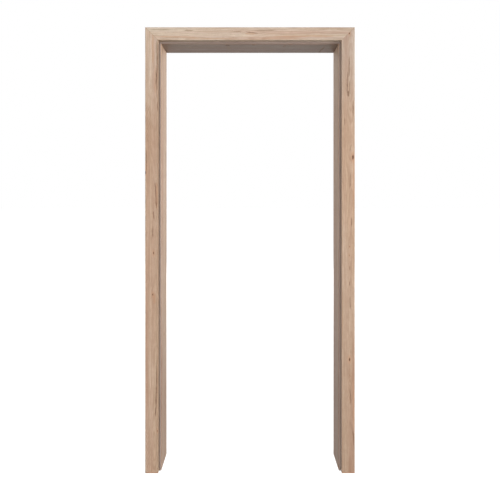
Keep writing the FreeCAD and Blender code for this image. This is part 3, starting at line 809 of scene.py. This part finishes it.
def sweep(name, where, outlines, finishes, acrossStart, cutEdge, cuts=6):
    # outlines: the outer one first, then any bore. Ends are capped with the last finish and
    # drawn in by cutEdge, and cuts is the number of lengths between them.
    bm = bmesh.new()
    foilMap = bm.loops.layers.uv.new("foil")
    rimMap = bm.loops.layers.uv.new("rim")
    capEdges = {0: [], 1: []}
    flat = {}
    for number, points in enumerate(outlines):
        inner = drawnIn(points, cutEdge if number == 0 else -cutEdge)
        lengths = [(points[(i + 1) % len(points)][0] - p[0]).length for i, p in enumerate(points)]
        wrap = [acrossStart + sum(lengths[:i]) for i in range(len(points) + 1)]
        rows = []
        for row in range(cuts + 3):
            ring = []
            source = inner if row in (0, cuts + 2) else points
            share = min(max(row - 1, 0), cuts) / cuts
            for point, _ in source:
                low, high = boardEnds(where, point.x)
                trim = 0 if source is inner else cutEdge
                along = low + trim + (high - low - 2 * trim) * share
                vertex = bm.verts.new(boardPoint(where, point.x, point.y, along))
                flat[vertex] = (point.x, point.y, along, along - low, high - along)
                ring.append(vertex)
            rows.append(ring)
        for lower, upper in zip(rows, rows[1:]):
            for i, (_, finish) in enumerate(points):
                j = (i + 1) % len(points)
                face = bm.faces.new((lower[i], lower[j], upper[j], upper[i]))
                face.material_index = finishes.index(finish)
                face.smooth = True
                for loop, side in zip(face.loops, (i, i + 1, i + 1, i)):
                    _, _, along, toFoot, toTop = flat[loop.vert]
                    loop[foilMap].uv = (along, wrap[side])
                    loop[rimMap].uv = (toTop, toFoot)
        for end, ring in ((0, rows[0]), (1, rows[-1])):
            for i, vertex in enumerate(ring):
                capEdges[end].append(bm.edges.get((vertex, ring[(i + 1) % len(ring)])))
    for edges in capEdges.values():
        cap = bmesh.ops.triangle_fill(bm, edges=edges, use_beauty=True, use_dissolve=False)
        for face in [f for f in cap["geom"] if isinstance(f, bmesh.types.BMFace)]:
            face.material_index = len(finishes) - 1
            for loop in face.loops:
                loop[foilMap].uv = flat[loop.vert][:2]
                loop[rimMap].uv = (0.0, 0.0)
    piece = addMesh(name, bm)
    piece.data.set_sharp_from_angle(angle=creaseAngle)
    return piece


def addCutter(name, outline, axis, start, end):
    # A straight cutter: outline lies across the axis, 1 for Y and 2 for Z. It bares the chips.
    bm = bmesh.new()
    ends = []
    for level in (start, end):
        corners = [(u, level, v) if axis == 1 else (u, v, level) for u, v in outline]
        ends.append([bm.verts.new(corner) for corner in corners])
    bm.faces.new(ends[0])
    bm.faces.new(list(reversed(ends[1])))
    for i in range(len(outline)):
        j = (i + 1) % len(outline)
        bm.faces.new((ends[0][i], ends[1][i], ends[1][j], ends[0][j]))
    for face in bm.faces:
        face.material_index = boardFinishes.index("chips")
    return addMesh(name, bm)


def carve(piece, cutters):
    # Takes the cutters' rooms out of a piece and keeps the result as its mesh.
    for cutter in cutters:
        change = piece.modifiers.new("recess", "BOOLEAN")
        change.operation = "DIFFERENCE"
        change.solver = "EXACT"
        change.object = cutter
    seen = piece.evaluated_get(bpy.context.evaluated_depsgraph_get())
    carved = bpy.data.meshes.new_from_object(seen)
    piece.modifiers.clear()
    before = piece.data
    piece.data = carved
    bpy.data.meshes.remove(before)
    carved.name = piece.name
    carved.set_sharp_from_angle(angle=creaseAngle)


plateCut = {"width": 15.0, "gap": 0.2, "overrun": 2.0}  # in millimetres
camCut = {"gap": 0.1, "overrun": 2.0, "steps": 40}


def plateCutter(row, side):
    # The room for one corner plate, open towards the wall.
    low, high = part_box(f"{row}_plate_{side}")
    gap, width = plateCut["gap"] * mm, plateCut["width"] * mm
    inner, outer = (low.x, high.x) if side == "right" else (high.x, low.x)
    turn = mirror[side]
    outline = [
        (outer + turn * gap, high.z + gap),
        (outer + turn * gap, low.z - gap),
        (outer - turn * (width + gap), low.z - gap),
        (outer - turn * (width + gap), high.z - width - gap),
        (inner - turn * gap, high.z - width - gap),
        (inner - turn * gap, high.z + gap),
    ]
    near, far = low.y, high.y
    if row == "front":
        far += plateCut["overrun"] * mm
    else:
        near -= plateCut["overrun"] * mm
    return addCutter(f"{row}PlateRoom_{side}", outline, 1, near, far)


def circlePoints(middleU, middleV, radius, steps):
    turns = [2 * math.pi * step / steps for step in range(steps)]
    return [(middleU + radius * math.cos(turn), middleV + radius * math.sin(turn))
            for turn in turns]


def camCutter(side, where):
    # The bore for one cam, open towards the wall.
    low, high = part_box(f"corner_cam_{side}_{where}")
    middle, gap = (low + high) / 2, camCut["gap"] * mm
    circle = circlePoints(middle.x, middle.y, (high.x - low.x) / 2 + gap, camCut["steps"])
    top = high.z + camCut["overrun"] * mm
    return addCutter(f"camRoom_{side}_{where}", circle, 2, low.z - gap, top)


# Sections give out, deep and rounding in millimetres, and the finish of the side that starts
# there. Tints are for the board's start, middle and end, and hold painted light and shade as
# well as tone. drawMarks reads the marks.

frontCasing = {
    "section": [
        (13.5, 24.0, 0, "foil"), (10.0, 24.0, 0, "foil"), (10.0, 0.0, 2.0, "foil"),
        (70.0, 0.0, 3.0, "foil"), (70.0, 18.0, 0, "foil"), (60.0, 18.0, 0, "paper"),
        (22.0, 18.0, 0, "chips"), (22.0, 24.0, 0, "chips"), (18.5, 24.0, 0, "chips"),
        (18.5, 33.0, 0, "chips"), (13.5, 33.0, 0, "chips"),
    ],
    "acrossStart": -17.5,  # so that across is the same as out on the front face
    "arrises": (10.0, 70.0),
    "shift": {"left": (0.0, 0.0), "right": (3.7, 0.31), "head": (8.2, 0.67)},
    # painted light and shade in the tints: the uprights are darker low down and paler at the top,
    # and the head is paler
    "tintsWithPaintedLight": {
        "left": ((0.91, 0.91, 0.90), (0.87, 0.83, 0.79), (1.07, 1.15, 1.21)),
        "right": ((0.75, 0.71, 0.68), (0.90, 0.89, 0.88), (0.89, 0.97, 1.05)),
        "head": ((1.14, 1.29, 1.38), (1.08, 1.20, 1.28), (1.00, 1.14, 1.23)),
    },
    "marks": {
        "left": [
            # the long dark band along the rebate's inner edge is painted shade
            ("Band", 1000, 3.0, 4600, 37), ("Olive", 1921, 14, 150, 10.8, 1),
            ("Crack", 1850, 14, 270, 5.5, -2), ("Crack", 1814, 19, 100, 4.9, -2),
            ("Warm", 1800, 22, 160, 8.4), ("Crack", 1681, 12, 60, 4.2),
            ("Flame", 1600, 73, 280, 84), ("Crack", 1431, 62.5, 133, 3.8),
            ("Warm", 1392, 66, 70, 8.4), ("Knot", 1376, 67, 18, 6),
            ("Crack", 1279, 21, 150, 7.8, 3), ("Warm", 1270, 17, 150, 9.6),
            ("Crack", 1181, 30, 46, 4.4, 1), ("Crack", 1105, 34.5, 70, 4.0),
            ("Warm", 1950, 33, 200, 8), ("Knot", 1008, 30.5, 15, 5), ("Knot", 818, 33.5, 13, 5),
            ("Warm", 800, 28, 60, 9.6), ("Crack", 385, 17, 250, 6.5, -2.5),
            ("Olive", 470, 15, 160, 9), ("Crack", 285, 20.5, 60, 3.8), ("Knot", 193, 12.5, 10, 4),
            ("Flame", 110, 73, 300, 90),
        ],
        "right": [
            # the long pale band along the rebate is painted light
            ("PaintedLightBand", 1000, -2, 4600, 27), ("Knot", 2016, 44, 13, 6),
            ("Crack", 1864, 43.5, 110, 6.8, 1), ("Crack", 1788, 34.5, 120, 6.8, 1),
            ("Crack", 1765, 46, 75, 4.8), ("Crack", 1738, 38, 36, 6.5),
            ("Crack", 1674, 60.5, 95, 4.6), ("Crack", 1610, 22.5, 45, 3.8),
            ("Olive", 1491, 49.5, 40, 6.8, 4), ("Knot", 1447, 60, 24, 9),
            ("Warm", 1330, 64.5, 340, 5), ("Crack", 1335, 46.5, 90, 5.5, 2),
            ("Crack", 1150, 53.5, 50, 3.8), ("Knot", 1037, 45, 8, 3), ("Knot", 997, 43, 8, 3),
            ("Crack", 939, 46, 26, 3.8), ("Crack", 868, 45, 26, 3.8),
            ("Crack", 781, 47.5, 75, 4.2), ("Knot", 521, 44.5, 19, 7),
            ("Crack", 352, 48, 100, 4.8, -3), ("Flame", 400, 46, 220, 34),
            ("Warm", 300, 63, 330, 4.4, -2), ("Crack", 158, 62.5, 105, 4.8, -3.5),
        ],
        "head": [
            # the pale band in the rebate is painted light, and the dark band at the inner edge
            # painted shade
            ("PaintedLightBand", 0, -6.5, 3000, 21), ("Band", 0, 7, 3000, 14), ("Olive", -410, 57, 120, 6.8),
            ("Olive", -281, 54, 50, 5.4), ("Warm", 2, 40, 60, 7.2), ("Crack", 10, 44, 70, 3.8, -5),
            ("Olive", 72, 54, 120, 6.8, 1.5), ("Warm", 250, 27, 360, 6.0, 2),
            ("Warm", 140, 18, 260, 3.4), ("Crack", -60, 48, 50, 3.0),
            ("Warm", -330, 24, 230, 5.0, -2), ("Warm", -180, 17, 300, 3.0),
        ],
    },
}

lining = {
    "section": [
        (4.4, 24.0, 0, "foil"), (0.0, 24.0, 1.5, "foil"), (0.0, 157.7, 2.0, "foil"),
        (8.0, 157.7, 0, "chips"), (8.0, 129.0, 0, "chips"), (14.6, 129.0, 0, "chips"),
        (14.6, 154.7, 0, "chips"), (22.0, 154.7, 0, "paper"), (22.0, 24.0, 0, "chips"),
        (18.6, 24.0, 0, "chips"), (18.6, 33.1, 0, "chips"), (13.4, 33.1, 0, "chips"),
        (13.4, 24.0, 0, "foil"), (7.4, 24.0, 0, "chips"), (7.4, 32.0, 0, "chips"),
        (4.4, 32.0, 0, "chips"),
    ],
    "acrossStart": 19.6,  # so that across is the same as deep on the passage face
    "arrises": (24.0, 157.7),
    "shift": {"left": (5.1, 0.92), "right": (11.4, 1.27), "head": (14.9, 1.73)},
    # painted shade in the tints: the uprights darken strongly towards the floor, and the head,
    # which faces down, is painted dark
    "tintsWithPaintedLight": {
        "left": ((0.54, 0.48, 0.43), (0.93, 0.94, 0.94), (1.00, 1.02, 1.01)),
        "right": ((0.49, 0.44, 0.41), (0.87, 0.85, 0.85), (0.94, 0.96, 0.96)),
        "head": ((0.50, 0.54, 0.58), (0.50, 0.52, 0.56), (0.51, 0.53, 0.57)),
    },
    "marks": {
        "left": [
            ("Warm", 1545, 148, 45, 19.2), ("Crack", 1540, 152, 22, 7.6),
            ("Olive", 1450, 130, 110, 13.5), ("Crack", 1452, 150, 120, 5.7),
            ("Olive", 1960, 40, 260, 18.9), ("Knot", 610, 88, 20, 9),
            ("Crack", 300, 120, 190, 5.7, 4),
        ],
        "right": [
            ("Knot", 1342, 150, 9, 5), ("Crack", 980, 70, 160, 5.7, -3),
            ("Flame", 1700, 92, 200, 26), ("Knot", 420, 118, 16, 8),
        ],
        "head": [
            ("Crack", -104, 40, 26, 26), ("Olive", -101, 85, 20, 60), ("Crack", 17, 33, 20, 16),
            ("Crack", 162, 49, 22, 20, -6), ("Crack", 190, 30, 32, 14),
            ("Olive", 106, 117, 24, 44, -15), ("Crack", 344.5, 103, 22, 58, -46),
            ("Olive", 386, 70, 18, 36, -8),
        ],
    },
}

rearCasing = {
    "section": [
        (58.0, 158.0, 0, "foil"), (68.3, 158.0, 0, "foil"), (68.3, 172.0, 3.0, "foil"),
        (8.3, 172.0, 3.0, "foil"), (8.3, 131.0, 0, "chips"), (9.3, 130.0, 0, "chips"),
        (13.3, 130.0, 0, "chips"), (14.3, 131.0, 0, "chips"), (14.3, 158.0, 0, "paper"),
    ],
    "acrossStart": -24.3,  # so that across is 0 at the outer edge of the rear face
    "arrises": (0.0, 60.0),
    "shift": {"left": (17.3, 2.11), "right": (21.2, 2.52), "head": (25.8, 2.96)},
    "tintsWithPaintedLight": {
        "left": ((0.86, 0.82, 0.78), (0.88, 0.85, 0.81), (0.92, 0.91, 0.89)),
        "right": ((0.81, 0.77, 0.73), (0.84, 0.81, 0.77), (0.88, 0.87, 0.85)),
        "head": ((0.95, 0.99, 1.00), (0.92, 0.95, 0.95), (0.90, 0.92, 0.91)),
    },
    "marks": {
        "left": [
            ("Crack", 1640, 22, 150, 5.7, 2), ("Knot", 1210, 38, 18, 7),
            ("Flame", 760, 30, 260, 24), ("Olive", 330, 14, 180, 8.1),
        ],
        "right": [
            ("Flame", 1450, 30, 300, 26), ("Crack", 930, 44, 140, 4.9, -2),
            ("Knot", 540, 20, 16, 7), ("Warm", 240, 50, 200, 9.6),
        ],
        "head": [
            ("Crack", -240, 18, 150, 4.6, 1), ("Knot", 130, 36, 17, 6),
            ("Olive", 330, 26, 140, 8.1),
        ],
    },
}


def buildBoards(kind, node, board, body, roomFor):
    # Sweeps, carves and dresses the three boards of a kind.
    outline = roundCorners(board["section"])
    for where in places:
        piece = sweep(f"{kind}_{where}_board", where, [outline], boardFinishes,
                      board["acrossStart"] * mm, cutSoftening)
        foil = foilMaterial(f"oakFoil_{kind}_{where}", board, where)
        for material in (foil, backingPaper, chipBoard):
            piece.data.materials.append(material)
        rooms = roomFor(where)
        if rooms:
            carve(piece, rooms)
        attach(piece, body)
        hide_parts(f"{node}_{where}")


plateCutters = {row: {side: plateCutter(row, side) for side in mirror}
                for row in ("front", "rear")}
camCutters = [camCutter(side, where) for side in mirror for where in ("front", "rear")]


def plateRooms(row):
    # One recess in each upright, and both in the head.
    return lambda where: [plateCutters[row][side] for side in mirror if where in (side, "head")]


def camRooms(where):
    return camCutters if where == "head" else []


buildBoards("frontCasing", "front_casing", frontCasing, "fixed_frame", plateRooms("front"))
buildBoards("lining", "lining", lining, "fixed_frame", camRooms)
buildBoards("rearCasing", "rear_casing", rearCasing, "rear_casing", plateRooms("rear"))
for cutter in [*plateCutters["front"].values(), *plateCutters["rear"].values(), *camCutters]:
    bpy.data.objects.remove(cutter)
print("nine boards are built")


# Sealing strips

seal = {
    "middle": 5.9,  # how far out it stands; the section is counted from there
    "section": [
        (-3.1, 18.4, 2.9), (3.1, 18.4, 2.9), (3.1, 23.0, 0), (3.6, 23.1, 0), (3.85, 23.5, 0),
        (3.9, 24.0, 0), (0.8, 24.0, 0), (0.8, 25.5, 0), (1.45, 25.5, 0), (0.8, 27.0, 0),
        (0.8, 28.5, 0), (1.45, 28.5, 0), (0.8, 30.0, 0), (0.6, 31.5, 0), (-0.6, 31.5, 0),
        (-0.8, 30.0, 0), (-1.45, 28.5, 0), (-0.8, 28.5, 0), (-0.8, 27.0, 0), (-1.45, 25.5, 0),
        (-0.8, 25.5, 0), (-0.8, 24.0, 0), (-3.9, 24.0, 0), (-3.85, 23.5, 0), (-3.6, 23.1, 0),
        (-3.1, 23.0, 0),
    ],
    "boreDeep": 21.2,
    "boreRadius": 1.9,
    "boreSteps": 28,
    "cutSoftening": 0.1,
    "drawn": ((8.0, 2200.0), 4.0, 3.0, 0.6),
    "cloud": ((6.0, 60.0), 9.0),
    "crownWear": 2.4,
    "relief": 0.04,
    "colour": paint(144, 128, 119),
    "worn": paint(160, 143, 135),
    "dark": paint(130, 113, 104),
}


def makeRubber():
    look = seal
    material, tree, shader = newMaterial("sealRubber")
    along, across = axes(tree, "foil")
    position = objectPlace(tree)
    dirt = addGroup(tree, scuffs, {"Place": position, "Scratches": 0.3, "Dust": 0.9})
    worn = addGroup(tree, edgeWear, {
        "Place": position, "Distance": calc(tree, "ABSOLUTE", across),
        "Reach": look["crownWear"] * mm, "Raggedness": 0.4})[0]
    drawn = grainNoise(tree, along, across, *look["drawn"])
    cloud = grainNoise(tree, along, across, *look["cloud"])
    colour = mixColour(tree, fade(tree, cloud, 0.3, 0.7), look["dark"], look["colour"])
    colour = coats(tree, colour, (drawn, 0.3, look["colour"]), (worn, 0.35, look["worn"]),
                   (dirt["Dust"], 0.3, look["worn"]))
    rough = weighted(tree, 0.5, (drawn, 0.2), (worn, -0.12))
    height = weighted(tree, drawn, (dirt["Scratches"], -0.5))
    dress(tree, shader, colour, rough, height, look["relief"])
    return material


def buildSeals():
    rubber = makeRubber()
    section = [(seal["middle"] + out, deep, radius, "rubber")
               for out, deep, radius in seal["section"]]
    outer = roundCorners(section, steps=10, hold=0.15)
    bore = [(Vector(point) * mm, "rubber") for point in circlePoints(
        seal["middle"], seal["boreDeep"], seal["boreRadius"], seal["boreSteps"])]
    for where in places:
        piece = sweep(f"seal_{where}_strip", where, [outer, bore], ["rubber"], 0.0,
                      seal["cutSoftening"] * mm)
        piece.data.materials.append(rubber)
        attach(piece, "fixed_frame")
        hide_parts(f"seal_{where}")


buildSeals()
print("three sealing strips are drawn")


# Fittings: the drawing's own solids with their finishes

metals = {
    "camCasting": {"slot": "cam", "base": (0.50, 0.50, 0.51, 1), "light": (0.66, 0.66, 0.67, 1),
                   "tarnish": (0.30, 0.30, 0.31, 1), "rough": 0.42, "pits": 900.0, "relief": 0.10},
    "zincPlate": {"slot": "steel_fitting", "base": (0.60, 0.61, 0.63, 1),
                  "light": (0.74, 0.75, 0.77, 1), "tarnish": (0.42, 0.43, 0.46, 1), "rough": 0.30,
                  "pits": 420.0, "relief": 0.03},
    "yellowZinc": {"slot": "screw", "base": (0.66, 0.56, 0.30, 1), "light": (0.78, 0.70, 0.46, 1),
                   "tarnish": (0.52, 0.50, 0.34, 1), "rough": 0.28, "pits": 650.0, "relief": 0.03},
}

metalEdge = {
    "radius": 0.35,  # of the softened normal, in millimetres
    "sameness": (0.80, 0.995),  # of the two normals, from an edge to a plain face
    "reach": 0.8,
}


def makeMetal(name, look):
    material, tree, shader = newMaterial(name, {"Metallic": 1.0})
    position = objectPlace(tree)
    normal = addNode(tree, "NewGeometry").outputs["Normal"]
    dirt = addGroup(tree, scuffs, {"Place": position, "Scratches": 1.0, "Dust": 0.5})
    # Where the softened normal leaves the face's own, an edge is near.
    soft = addNode(tree, "Bevel", {"Radius": metalEdge["radius"] * mm}, samples=4).outputs[0]
    same = addNode(tree, "VectorMath", {0: soft, 1: normal}, operation="DOT_PRODUCT").outputs[1]
    worn = addGroup(tree, edgeWear, {
        "Place": position, "Distance": fade(tree, same, *metalEdge["sameness"]),
        "Reach": metalEdge["reach"], "Raggedness": 0.4})[0]
    cloud = noise(tree, position, 160.0, 4.0, 0.6)
    pits = noise(tree, position, look["pits"], 4.0, 0.7)
    colour = mixColour(tree, fade(tree, cloud, 0.35, 0.65), look["tarnish"], look["base"])
    colour = coats(tree, colour, (worn, 0.7, look["light"]),
                   (dirt["Scratches"], 0.5, look["light"]))
    rough = weighted(tree, look["rough"], (pits, 0.25), (worn, -0.1), (dirt["Dust"], 0.25))
    height = weighted(tree, pits, (dirt["Scratches"], -0.4))
    dress(tree, shader, colour, rough, height, look["relief"])
    return material


beech = {
    "pale": paint(222, 188, 146),
    "dark": paint(190, 150, 106),
    "fleck": paint(160, 118, 80),
    "flecks": ((260.0, 1900.0), 2.0),
    "relief": 0.08,
}


def makeBeech():
    material, tree, shader = newMaterial("beechDowel")
    along, depth, height = addNode(tree, "SeparateXYZ", {0: objectPlace(tree)}).outputs
    across = weighted(tree, depth, (height, 0.8))
    fibre = addGroup(tree, woodGrain, {"Along": along, "Across": across})["Fibre"]
    flecks = fade(tree, grainNoise(tree, along, across, *beech["flecks"]), 0.6, 0.7)
    colour = mixColour(tree, fibre, beech["pale"], beech["dark"])
    colour = coats(tree, colour, (flecks, 0.7, beech["fleck"]))
    rough = weighted(tree, 0.6, (fibre, 0.15))
    dress(tree, shader, colour, rough, fibre, beech["relief"])
    return material


def finishFittings():
    # The record says which finish each of the drawing's solids takes.
    finishes = {look["slot"]: makeMetal(name, look) for name, look in metals.items()}
    finishes["dowel"] = makeBeech()
    for part in frame["record"]["subparts"]:
        material = finishes.get(part["material_slot"])
        if material:
            node = frame["nodes"][part["node"]]
            node.data.materials.clear()
            node.data.materials.append(material)


finishFittings()
print("fittings are finished")

bpy.context.scene.view_settings.view_transform = "Standard"
